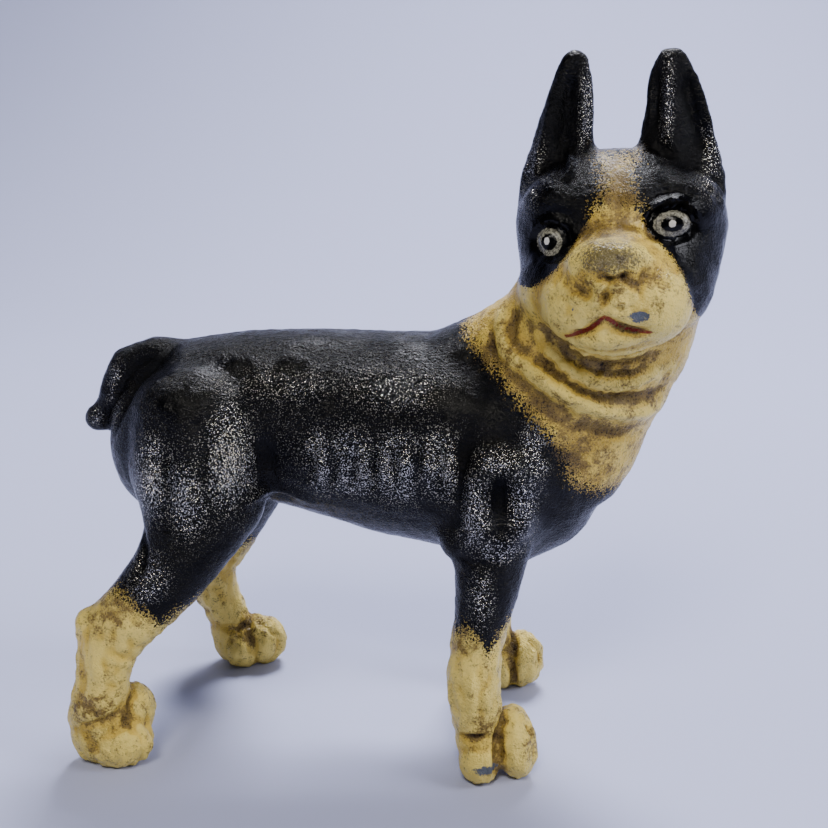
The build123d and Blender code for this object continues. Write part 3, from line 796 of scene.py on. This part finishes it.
def cream_field(places):
    """Millimetres inside the cream paint."""
    x, y, z = places.T
    far_side = np.clip((y + 4) / 12, 0, 1)
    shifted = np.stack([x - 3.5 * far_side, z], axis=1)
    bib = inside(shifted, BIB_EDGE)
    flat = places[:, [0, 2]]
    back_of_head = np.minimum(y + 1.0, z - 96.5 - 1.5 * np.sin(x / 6))
    masks = [inside(flat, RIGHT_MASK), inside(flat, LEFT_MASK), back_of_head, z - BLACK_EARS_FROM]
    black_head = np.maximum.reduce(masks)
    crisp = 1 + 4 * np.clip((113 - z) / 3, 0, 1) * np.clip((z - 92) / 3, 0, 1) * np.clip(-2 - y, 0, 1)
    cream = np.minimum(bib, -black_head * crisp)
    for (border_x, border_z), chosen in (
        (FRONT_SOCK, x > 0),
        (RIGHT_HIND_SOCK, (x < 0) & (y < 0)),
        (LEFT_HIND_SOCK, (x < 0) & (y > 0)),
    ):
        sock = np.interp(x, border_x, border_z) - z
        cream = np.where(chosen & (z < 46), np.maximum(cream, sock), cream)
    return np.clip(cream, -8, 8)


def oval(places, x, z, half_x, half_z, before=-9.0, tilt=0.0):
    """Nought in the middle of an oval seen from the side and 1 at its edge, on what faces it."""
    across, up = places[:, 0] - x, places[:, 2] - z
    turn = math.radians(tilt)
    along_x = across * math.cos(turn) + up * math.sin(turn)
    along_z = up * math.cos(turn) - across * math.sin(turn)
    size = np.hypot(along_x / half_x, along_z / half_z)
    return np.where(places[:, 1] < before, np.minimum(size, 9), 9)


CHIPS = [(48.5, 96.0, 1.7, 1.0, -20.0), (22.9, 4.4, 2.2, 0.9, -18.0), (37.2, 96.8, 0.3, 0.3, -20.0)]
# Brown patches on the cream, each x, z, two half sizes and a strength.
BROWN_PATCHES = [(42.5, 100.6, 7.0, 2.6, 0.55), (50.6, 103.0, 2.6, 4.0, 0.5), (38.0, 99.6, 2.4, 1.6, 0.5),
        (38.0, 109.4, 3.0, 2.4, 0.6), (43.8, 117.0, 5.0, 8.0, 0.9), (43.5, 109.6, 5.0, 2.0, 0.4),
        # this one darkens the near hind foot above its crease: painted shade
        (-55.0, 14.0, 5.0, 4.0, 0.8),
        (22.6, 12.6, 3.0, 3.6, 0.7), (32.0, 10.0, 1.2, 5.0, 0.8), (-50.0, 35.0, 8.0, 4.5, 0.6),
        (40.0, 67.0, 8.0, 9.0, 0.6), (24.0, 86.0, 5.0, 7.0, 0.45), (18.4, 31.0, 3.0, 3.0, 0.6),
        (-38.0, 11.0, 3.4, 3.4, 0.75), (-57.0, 5.0, 2.0, 2.0, 0.4), (33.0, 76.0, 8.0, 5.0, 0.35),
        (50.0, 78.0, 6.0, 5.0, 0.4)]

# Pale metal flecks worn through at the grain's tips, placed over haunch, ribs, shoulder, back, ears and tail
# where the glints fall: painted glints as well as wear. Each is x, z, two half sizes and a strength.
WEAR_AND_GLINTS = [(-43.0, 60.0, 4.5, 7.0, 0.9), (-36.0, 57.0, 4.0, 6.0, 0.8), (-28.0, 65.0, 5.0, 8.0, 1.0),
        (-11.0, 63.5, 2.6, 6.0, 0.9), (-4.0, 63.5, 5.0, 6.0, 1.0), (5.0, 63.5, 5.0, 6.0, 1.0),
        (13.0, 64.5, 4.0, 6.0, 0.9), (20.0, 56.0, 3.0, 7.0, 0.75), (29.0, 58.0, 3.0, 7.0, 0.75),
        (24.5, 50.0, 4.0, 2.6, 0.7), (24.5, 67.0, 4.0, 2.4, 0.65), (31.0, 68.0, 3.0, 5.0, 0.6),
        (-20.0, 78.0, 14.0, 4.0, 0.3), (4.0, 78.0, 12.0, 4.0, 0.35), (-43.0, 42.0, 4.0, 4.0, 0.7),
        (21.6, 40.0, 2.4, 6.0, 0.45), (28.0, 119.0, 2.5, 6.0, 0.5), (38.0, 130.0, 1.2, 8.0, 0.7),
        (52.6, 131.0, 1.1, 8.0, 0.6), (60.5, 122.0, 2.5, 6.0, 0.6), (-57.0, 73.0, 2.5, 6.0, 0.45),
        (-62.5, 67.5, 2.0, 2.0, 0.4), (-16.0, 66.0, 60.0, 30.0, 0.12)]


def fields(places):
    """Every paint field by name."""
    found = {"cream": cream_field(places)}
    (left_x, _, left_z, *_), (right_x, _, right_z, *_) = EYEBALLS
    near_eye = oval(places, left_x - 0.1, left_z - 0.1, 2.4, 2.4, tilt=20)
    far_eye = oval(places, right_x, right_z, 3.35, 2.25)
    found["eye"] = np.minimum(near_eye, far_eye)
    found["glint"] = np.minimum(oval(places, left_x - 0.5, left_z + 0.1, 0.5, 0.75),
                                oval(places, right_x, right_z + 0.1, 0.65, 0.7))
    found["nose"] = oval(places, 43.2, 106.0, 5.2, 2.9, before=-20)
    lips = np.minimum(*[from_line(places[:, [0, 2]], rounded(lip))[0] for lip in LIPS])
    found["lip"] = np.where(places[:, 1] < -24, np.minimum(lips, 9), 9)
    found["chip"] = np.minimum.reduce([oval(places, *chip) for chip in CHIPS])
    for name, patches in (("brown_patches", BROWN_PATCHES), ("wear_and_glint", WEAR_AND_GLINTS)):
        found[name] = np.zeros(len(places))
        for x, z, half_x, half_z, strength in patches:
            spread = ((places[:, 0] - x) / half_x) ** 2 + ((places[:, 2] - z) / half_z) ** 2
            found[name] = np.maximum(found[name], strength * np.exp(-spread))
    return found


# %% Castings as pieces
nearest_skin = kdtree.KDTree(len(points))
for number, point in enumerate(points):
    nearest_skin.insert(point, number)
nearest_skin.balance()


def casting(mesh, name, body, node, material):
    """Gives a casting its fields, brings it to metres and makes it a piece that rides on a body."""
    places = np.empty(len(mesh.vertices) * 3)
    mesh.vertices.foreach_get("co", places)
    places = places.reshape(-1, 3)
    found = [nearest_skin.find(place) for place in places]
    kept = fields(places)
    kept["relief"] = relief[[number for _, number, _ in found]]
    kept["depth"] = np.array([distance for _, _, distance in found])
    kept["depth"][places[:, 2] < 0.01] = 0.9
    for field, values in kept.items():
        mesh.attributes.new(field, "FLOAT", "POINT").data.foreach_set("value", values.astype(np.float32))
    mesh.transform(Matrix.Scale(MM, 4))
    mesh.polygons.foreach_set("use_smooth", [True] * len(mesh.polygons))
    mesh.set_sharp_from_angle(angle=math.radians(50))
    mesh.materials.clear()
    mesh.materials.append(material)
    piece = bpy.data.objects.new(name, mesh)
    bpy.context.scene.collection.objects.link(piece)
    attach(piece, body)
    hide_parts(node)
    mesh.calc_loop_triangles()
    print(name, len(mesh.loop_triangles), "triangles")
    return piece


# %% [markdown]
# Materials are built from nodes by one helper. Colours are the sRGB hex values that a paint chart
# would give, turned to the linear values that the renderer works in. Pattern scales come from
# sizes in millimetres: Object coordinates are in metres, so a scale is 1000 over the size.

# %% Material helpers
def colour(hex_code):
    """Linear RGBA from an sRGB hex value."""
    parts = [int(hex_code[start:start + 2], 16) / 255 for start in (1, 3, 5)]
    return (*[part / 12.92 if part <= 0.04045 else ((part + 0.055) / 1.055) ** 2.4 for part in parts], 1)


def node(tree, kind, links=None, **settings):
    """Adds a node. Settings name its properties or, by number or name, its inputs' values."""
    made = tree.nodes.new(kind)
    for name, value in settings.items():
        if name.startswith("in_"):
            key = name[3:]
            made.inputs[int(key) if key.isdigit() else key].default_value = value
        else:
            setattr(made, name, value)
    for key, source in (links or {}).items():
        tree.links.new(source, made.inputs[key])
    return made


def new_material(name):
    """An empty material with its output, and the tree to fill."""
    material = bpy.data.materials.new(name)
    material.use_nodes = True
    material.node_tree.nodes.clear()
    return material, material.node_tree


def per_mm(size):
    """The texture scale for a pattern of this size in millimetres."""
    return 1000 / size


# %% [markdown]
# The finish is oil enamel brushed over raw sand-cast iron. The black is glossy, and the sand's grain,
# about 0.6 mm with a finer one of 0.28 mm in it, breaks its highlights up. Where the wear-and-glint
# field says so, the tips of that grain are rubbed through to pale metal flecks, which are set where
# the glints fall and so are painted glints as well as wear. The cream is yellowed, with painted shade
# in its low places, a painted highlight on its crests, brown patches and dark specks where it thins
# out, under a thin coat of old varnish.
# Inside and on the joint faces the iron is bare, dark and rough, so the finish ends with depth. The
# base has a lower IOR than enamel's usual 1.5, because that is what keeps the black deep here.

# %% Painted iron
GRAIN_MM = 0.6
FINE_GRAIN_MM = 0.28
PATCH_MM = 8.0
SPECK_MM = 0.42
FLECK_MM = 0.27
BRUSH_MM = 2.2


def painted_iron():
    """Black and cream oil enamel over raw sand-cast iron, in one material."""
    material, tree = new_material("oil_enamel_on_sand_cast_iron")

    def field(name):
        return node(tree, "ShaderNodeAttribute", attribute_name=name).outputs["Fac"]

    def calc(operation, *values, clamp=False):
        made = node(tree, "ShaderNodeMath", operation=operation, use_clamp=clamp)
        for socket, value in zip(made.inputs, values):
            if isinstance(value, (int, float)):
                socket.default_value = value
            else:
                tree.links.new(value, socket)
        return made.outputs[0]

    def ramp(value, low, high):
        return node(tree, "ShaderNodeMapRange", {0: value}, in_1=low, in_2=high, clamp=True,
                    interpolation_type="SMOOTHSTEP").outputs[0]

    def blend(share, first, second):
        made = node(tree, "ShaderNodeMix", {0: share}, data_type="RGBA")
        for key, value in ((6, first), (7, second)):
            if isinstance(value, str):
                made.inputs[key].default_value = colour(value)
            else:
                tree.links.new(value, made.inputs[key])
        return made.outputs[2]

    place = node(tree, "ShaderNodeTexCoord").outputs["Object"]

    def speckle(size, detail=2.0, rough=0.5):
        return node(tree, "ShaderNodeTexNoise", {"Vector": place}, in_Scale=per_mm(size), in_Detail=detail,
                    in_Roughness=rough).outputs["Fac"]

    grain = speckle(GRAIN_MM, 3.0, 0.6)
    fine = speckle(FINE_GRAIN_MM, 1.0)
    patch = speckle(PATCH_MM, 2.0)
    specks = speckle(SPECK_MM, 2.0, 0.6)
    flecks = speckle(FLECK_MM, 1.0)
    brush = speckle(BRUSH_MM, 3.0, 0.6)
    relief_mm = field("relief")
    brown_patches = field("brown_patches")

    # where cream covers black: the field, moved by brush marks and broken up by specks
    edge = calc("ADD", field("cream"), calc("MULTIPLY_ADD", brush, 5.0, -2.5))
    edge = calc("ADD", edge, calc("MULTIPLY_ADD", specks, 12.0, -6.0))
    cream = ramp(edge, -0.3, 0.3)

    # cream, darkened by painted shade in the low places and by brown patches, with a painted highlight on the
    # crests
    # painted shade: the cream darkens where the relief falls below nought, in grooves and folds
    low = ramp(relief_mm, 0.05, -0.35)
    shade_and_brown_patches = calc("ADD", calc("MULTIPLY", low, 0.5), calc("MULTIPLY", brown_patches, 0.5))
    shade_and_brown_patches = calc("ADD", shade_and_brown_patches, calc("MULTIPLY_ADD", brush, 1.5, -0.72))
    shade_and_brown_patches = calc("ADD", shade_and_brown_patches, calc("MULTIPLY_ADD", specks, 0.8, -0.40), clamp=True)
    pale = blend(ramp(patch, 0.35, 0.65), "#DEBE54", "#CAA844")
    # painted highlight: the crests of the relief are made a lighter cream
    pale = blend(ramp(relief_mm, 0.08, 0.28), pale, "#ECD26C")
    cream_with_shade_and_patches = blend(ramp(shade_and_brown_patches, 0.05, 0.50), pale, "#826A32")
    cream_with_shade_and_patches = blend(ramp(shade_and_brown_patches, 0.50, 1.0), cream_with_shade_and_patches, "#423016")
    pits = calc("MULTIPLY", ramp(specks, 0.60, 0.66), calc("MULTIPLY_ADD", shade_and_brown_patches, 0.9, 0.05, clamp=True))
    near_edge = calc("MULTIPLY", ramp(edge, 3.5, 0.3), ramp(flecks, 0.50, 0.58))
    cream_with_shade_and_patches = blend(calc("MAXIMUM", pits, near_edge), cream_with_shade_and_patches, "#1E1509")
    painted = blend(cream, "#030304", cream_with_shade_and_patches)

    # nose patch, bare chips, lips
    nose = ramp(calc("ADD", field("nose"), calc("MULTIPLY_ADD", specks, 3.6, -1.8)), 1.15, 0.65)
    rubbed_nose = blend(ramp(flecks, 0.48, 0.66), "#1C1A1A", "#6E6654")
    painted = blend(calc("MULTIPLY", nose, 0.8), painted, rubbed_nose)
    lip = ramp(calc("ADD", field("lip"), calc("MULTIPLY_ADD", brush, 0.9, -0.45)), 0.42, 0.22)
    painted = blend(calc("MULTIPLY", lip, 0.9), painted, "#86150E")
    chip = ramp(calc("ADD", field("chip"), calc("MULTIPLY_ADD", specks, 1.6, -0.8)), 1.1, 0.8)
    painted = blend(chip, painted, "#565C66")

    # eyes: a silver ring, a black iris and a white dot
    eye = calc("ADD", field("eye"), calc("MULTIPLY_ADD", grain, 0.3, -0.15))
    ring = calc("MULTIPLY", ramp(eye, 1.02, 0.94), ramp(eye, 0.56, 0.64))
    painted = blend(ramp(eye, 1.32, 1.2), painted, "#050506")
    painted = blend(ring, painted, blend(ramp(specks, 0.38, 0.62), "#55534A", "#9A9786"))
    painted = blend(ramp(field("glint"), 1.1, 0.85), painted, "#DEDCD2")

    # bare iron past the rim, and pale metal flecks where the grain's tips have worn through, set where the
    # glints fall: painted glints as well as wear
    depth = calc("ADD", field("depth"), calc("MULTIPLY_ADD", brush, 0.8, -0.4))
    bare = ramp(depth, 0.55, 0.85)
    iron = blend(ramp(brush, 0.35, 0.7), "#2A2725", "#4A3A2E")
    away_from_eye = ramp(field("eye"), 1.4, 3.4)
    rubbed_and_glinting = calc("MULTIPLY", field("wear_and_glint"), ramp(relief_mm, -0.40, 0.10))
    rubbed_and_glinting = calc("MULTIPLY", rubbed_and_glinting, calc("MULTIPLY_ADD", ramp(patch, 0.3, 0.6), 0.5, 0.5))
    tips = calc("ADD", flecks, calc("MULTIPLY", rubbed_and_glinting, 0.14))
    worn_and_glint_flecks = calc("MULTIPLY", ramp(tips, 0.635, 0.68), ramp(rubbed_and_glinting, 0.02, 0.30))
    worn_and_glint_flecks = calc("MULTIPLY", worn_and_glint_flecks, calc("SUBTRACT", 1.0, calc("MAXIMUM", cream, bare)))
    # the pale flecks are painted glints as well as worn metal
    painted = blend(worn_and_glint_flecks, painted, "#DAD6CB")
    whole = blend(bare, painted, iron)

    # gloss: black shines most, cream under painted shade or brown patches and bare iron least
    gloss = calc("MULTIPLY_ADD", cream, 0.14, 0.18)
    gloss = calc("MULTIPLY_ADD", calc("MULTIPLY", shade_and_brown_patches, cream), 0.20, gloss)
    gloss = calc("MULTIPLY_ADD", patch, 0.16, calc("SUBTRACT", gloss, 0.08))
    gloss = calc("ADD", gloss, calc("MULTIPLY", bare, 0.35), clamp=True)

    # the sand's grain under the paint, least where the paint is thick, round the eyes and brows
    rough_iron = calc("MULTIPLY_ADD", ramp(patch, 0.30, 0.6), 0.6, 0.4)
    rough_iron = calc("MULTIPLY", rough_iron, calc("MULTIPLY_ADD", away_from_eye, 0.85, 0.15))
    height = calc("ADD", grain, calc("MULTIPLY", fine, 0.4))
    bump = node(tree, "ShaderNodeBump", {"Height": height, "Strength": rough_iron}, in_Distance=0.00065)
    lacquer = calc("MULTIPLY", cream, calc("SUBTRACT", 1.0, bare))
    coat = calc("MULTIPLY", lacquer, 0.3)
    shader = node(tree, "ShaderNodeBsdfPrincipled",
                  {"Base Color": whole, "Roughness": gloss, "Metallic": worn_and_glint_flecks, "Normal": bump.outputs[0],
                   "Coat Weight": coat, "Coat Normal": bump.outputs[0]}, in_IOR=1.24)
    shader.inputs["Coat Roughness"].default_value = 0.24
    node(tree, "ShaderNodeOutputMaterial", {"Surface": shader.outputs[0]})
    return material


# %% [markdown]
# The screw is plain turned steel that has dulled in the hand. Its lathe marks run round the axis, so
# the streaks are rings across Y, drawn 0.2 mm apart, which is coarser than the real ones, to show.

# %% Turned steel
LATHE_MM = 0.2
STAIN_MM = 2.5


def turned_steel():
    """Plain steel with lathe marks and stains."""
    material, tree = new_material("turned_steel_dulled")
    place = node(tree, "ShaderNodeTexCoord").outputs["Object"]
    centred = node(tree, "ShaderNodeMapping", {"Vector": place}, in_Scale=(0.15, 1, 0.15))
    marks = node(tree, "ShaderNodeTexNoise", {"Vector": centred.outputs[0]},
                 in_Scale=per_mm(LATHE_MM), in_Detail=2.0)
    stain = node(tree, "ShaderNodeTexNoise", {"Vector": place}, in_Scale=per_mm(STAIN_MM), in_Detail=4.0)
    tint = node(tree, "ShaderNodeMix", {0: stain.outputs["Fac"]}, data_type="RGBA",
                in_6=colour("#9A958A"), in_7=colour("#5F584E"))
    dull = node(tree, "ShaderNodeMapRange", {0: stain.outputs["Fac"]}, in_3=0.28, in_4=0.55)
    bump = node(tree, "ShaderNodeBump", {"Height": marks.outputs["Fac"]},
                in_Strength=0.4, in_Distance=0.00008)
    shader = node(tree, "ShaderNodeBsdfPrincipled",
                  {"Base Color": tint.outputs[2], "Roughness": dull.outputs[0], "Normal": bump.outputs[0]},
                  in_Metallic=1.0)
    node(tree, "ShaderNodeOutputMaterial", {"Surface": shader.outputs[0]})
    return material


# %% Put the pieces together
enamel = painted_iron()
for mesh, name, body, replaced in (
    (right_mesh, "right_casting_skin", "right_half", "right_casting"),
    (left_mesh, "left_casting_skin", "left_half", "left_casting"),
):
    casting(mesh, name, body, replaced, enamel)

screw_mesh.transform(Matrix.Scale(MM, 4))
screw_mesh.polygons.foreach_set("use_smooth", [True] * len(screw_mesh.polygons))
screw_mesh.set_sharp_from_angle(angle=math.radians(35))
screw_mesh.materials.clear()
screw_mesh.materials.append(turned_steel())
screw = bpy.data.objects.new("round_head_screw", screw_mesh)
bpy.context.scene.collection.objects.link(screw)
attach(screw, "screw")
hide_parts("assembly_screw")
print("pieces made")

# %% [markdown]
# The studio is a large sheet of pale paper that curves up behind, so the camera sees no horizon. It
# is one profile swept wide: a floor, a quarter round and a wall. It is not part of the bank.

# %% Backdrop
FLOOR_FRONT = 5.0
FLOOR_BACK = 0.4
SWEEP_RADIUS = 0.6
HALF_WIDTH = 5.0
sweep = [(-FLOOR_FRONT, 0.0), (FLOOR_BACK, 0.0)]
sweep += [(FLOOR_BACK + SWEEP_RADIUS * math.sin(turn), SWEEP_RADIUS * (1 - math.cos(turn)))
          for turn in np.radians(range(6, 91, 6))]
sweep += [(FLOOR_BACK + SWEEP_RADIUS, 2.4)]
paper = bmesh.new()
edge = [paper.verts.new((-HALF_WIDTH, y, z)) for y, z in sweep]
strip = [paper.edges.new(pair) for pair in zip(edge, edge[1:])]
swept = bmesh.ops.extrude_edge_only(paper, edges=strip)
bmesh.ops.translate(paper, vec=(2 * HALF_WIDTH, 0, 0),
                    verts=[part for part in swept["geom"] if isinstance(part, bmesh.types.BMVert)])
bmesh.ops.recalc_face_normals(paper, faces=paper.faces)
if paper.faces[0].normal.z < 0:
    bmesh.ops.reverse_faces(paper, faces=paper.faces)
paper_mesh = bpy.data.meshes.new("backdrop")
paper.to_mesh(paper_mesh)
paper.free()
paper_mesh.polygons.foreach_set("use_smooth", [True] * len(paper_mesh.polygons))
backdrop = bpy.data.objects.new("backdrop", paper_mesh)
bpy.context.scene.collection.objects.link(backdrop)
paper_material, paper_tree = new_material("matt_lavender_paper")
paper_shader = node(paper_tree, "ShaderNodeBsdfPrincipled", in_Roughness=0.95)
paper_shader.inputs["Base Color"].default_value = colour("#B2B7D8")
paper_shader.inputs["Specular IOR Level"].default_value = 0.1
node(paper_tree, "ShaderNodeOutputMaterial", {"Surface": paper_shader.outputs[0]})
paper_mesh.materials.append(paper_material)

# %% [markdown]
# Three soft lamps light the bank: one overhead and a little behind, which makes the back and the
# brows shine, one from the right like a window, and one high in front. The world is dim, so that the
# black stays black, but the camera sees it pale where it looks past the paper's edge.

# %% Camera and lights
camera_data = bpy.data.cameras.new("camera")
camera_data.lens = 52.61
camera_data.sensor_width = 36.0
camera = bpy.data.objects.new("camera", camera_data)
camera.location = (0.04254, -0.23705, 0.12822)
camera.rotation_euler = (math.radians(90 - 13.656), 0, math.radians(9))
bpy.context.scene.collection.objects.link(camera)
bpy.context.scene.camera = camera

world = bpy.data.worlds.new("studio")
world.use_nodes = True
sky = world.node_tree
dim = sky.nodes["Background"]
dim.inputs["Color"].default_value = colour("#C8CBD4")
dim.inputs["Strength"].default_value = 0.10
pale = node(sky, "ShaderNodeBackground", in_Color=colour("#B9BEDA"), in_Strength=1.0)
seen = node(sky, "ShaderNodeLightPath").outputs["Is Camera Ray"]
either = node(sky, "ShaderNodeMixShader", {0: seen, 1: dim.outputs[0], 2: pale.outputs[0]})
sky.links.new(either.outputs[0], sky.nodes["World Output"].inputs["Surface"])
bpy.context.scene.world = world

AIM = Vector((0.0, 0.0, 0.07))
LAMPS = [
    ("overhead", (0.05, 0.55, 0.90), 0.35, 18.0, "#F6F7FF"),
    ("right_window", (1.15, -0.15, 0.75), 0.6, 12.0, "#F4F5FF"),
    ("front_high", (0.00, -0.80, 0.95), 0.35, 9.0, "#FFFAF0"),
]
for name, place, size, watts, tint in LAMPS:
    lamp_data = bpy.data.lights.new(name, "AREA")
    lamp_data.size = size
    lamp_data.energy = watts
    lamp_data.color = colour(tint)[:3]
    lamp = bpy.data.objects.new(name, lamp_data)
    lamp.location = place
    lamp.rotation_euler = (AIM - Vector(place)).to_track_quat("-Z", "Y").to_euler()
    bpy.context.scene.collection.objects.link(lamp)
print("lamps", len(LAMPS))
